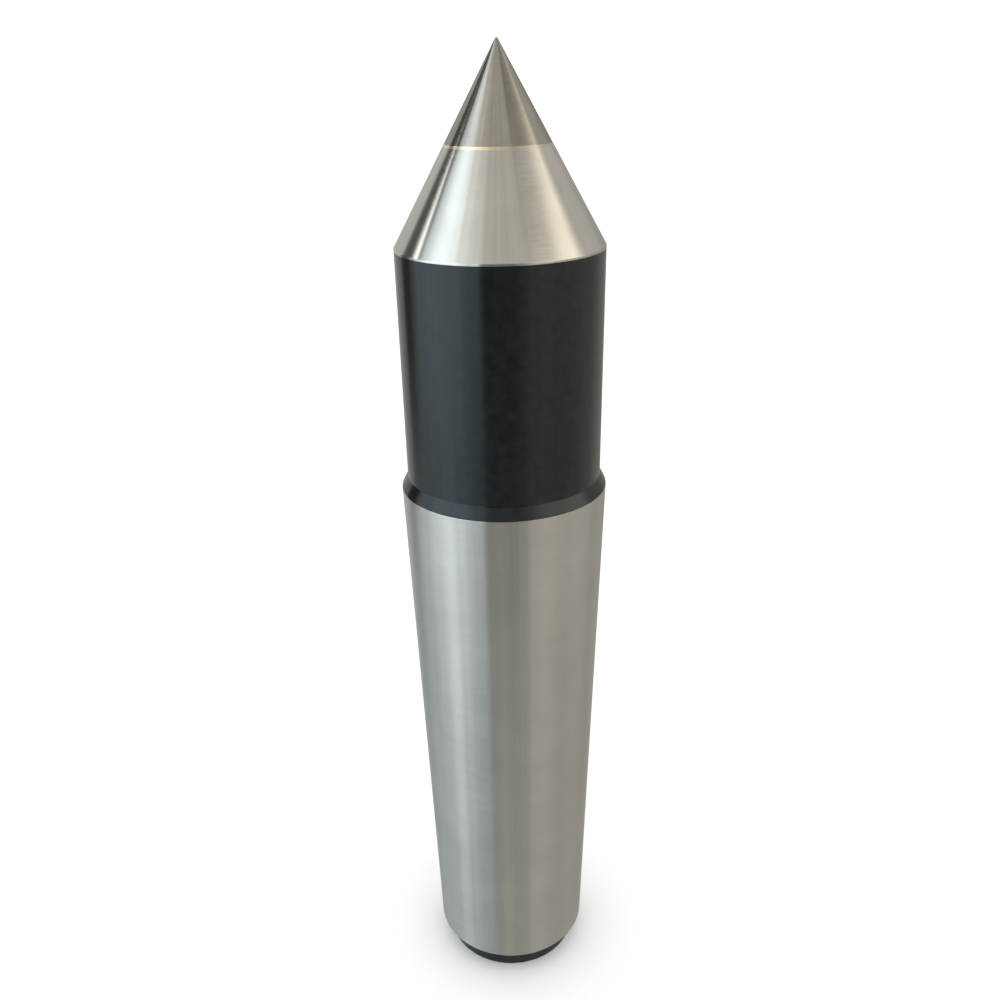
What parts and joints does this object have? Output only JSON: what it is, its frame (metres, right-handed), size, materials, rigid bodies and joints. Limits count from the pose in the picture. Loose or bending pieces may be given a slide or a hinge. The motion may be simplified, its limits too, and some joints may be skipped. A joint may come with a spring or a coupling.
{
  "type": "lathe dead center",
  "caption": "Carbide-tipped dead center for a lathe: 60 degree ground point, black neck and collar bevel, ground Morse No. 5 taper shank and short tail spigot.",
  "frame": {"origin": "center of the tail face, which the part stands on", "axes": "+Z along the axis from the tail to the point; the part is turned about Z, so X and Y are free"},
  "size_m": [0.0447, 0.0448, 0.219],
  "materials": {
    "tool_steel": "hardened tool steel, ground bright on the cone and on the taper, black oxide on the neck, collar bevel and tail spigot",
    "carbide": "fine-ground tungsten carbide, a darker and warmer grey than the steel",
    "braze": "pale gold braze, ground flush with the cone"
  },
  "bodies": {
    "root": {"center_body": "tool_steel", "carbide_tip": "carbide", "braze_joint": "braze"}
  },
  "joints": []
}
